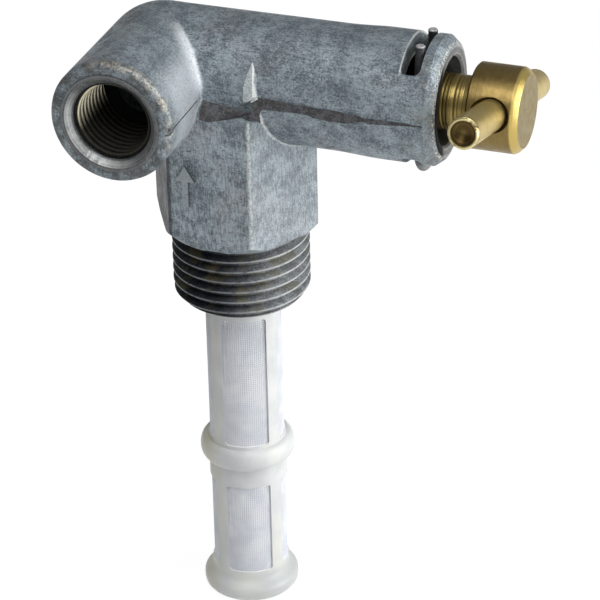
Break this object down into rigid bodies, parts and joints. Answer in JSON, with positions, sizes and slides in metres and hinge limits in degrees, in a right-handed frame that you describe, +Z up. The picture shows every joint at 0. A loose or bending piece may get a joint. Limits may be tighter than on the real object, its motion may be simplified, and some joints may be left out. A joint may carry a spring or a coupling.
{
  "type": "fuel tap",
  "caption": "Screw-down fuel tap: die-cast elbow body with a male tank thread and strainer below, a female outlet port and a brass T-handle spindle held by a wire clip.",
  "frame": {"origin": "on the axis of the tank thread, in the plane of the hex's shoulder", "axes": "+Z up the hex from the strainer, +X along the valve barrel to the T-handle, -Y out of the outlet port"},
  "size_m": [0.0689, 0.0431, 0.1051],
  "materials": {
    "cast_metal": "die-cast, lightly mottled, turned at the threads and end faces",
    "brass": "turned, slightly tarnished",
    "brass_bar": "drawn bar, cropped and dished ends",
    "zinc_wire": "plated spring wire",
    "rubber_ring": "smooth nitrile",
    "rubber_seal": "smooth nitrile",
    "nylon": "natural milky nylon, slightly translucent",
    "gauze": "fine woven nylon gauze"
  },
  "bodies": {
    "housing": {"valve_body": "cast_metal", "retaining_clip": "zinc_wire", "strainer_frame": "nylon", "strainer_gauze": "gauze"},
    "seal_rings": {"o_ring_outer": "rubber_ring", "o_ring_inner": "rubber_ring"},
    "screw_spindle": {"spindle": "brass", "t_bar": "brass_bar", "nose_seal": "rubber_seal"}
  },
  "joints": [
    {"name": "spindle_lift", "type": "slide", "parent": "housing", "child": "seal_rings", "axis": [1, 0, 0], "range_m": [0, 0.0045]},
    {"name": "spindle_turn", "type": "hinge", "parent": "seal_rings", "child": "screw_spindle", "pos_m": [0.039, 0, 0.0256], "axis": [1, 0, 0], "range_deg": [0, 1080.5]}
  ],
  "couplings": [
    {"joint": "spindle_turn", "follows": "spindle_lift", "rad_per_m": 4188.8}
  ]
}
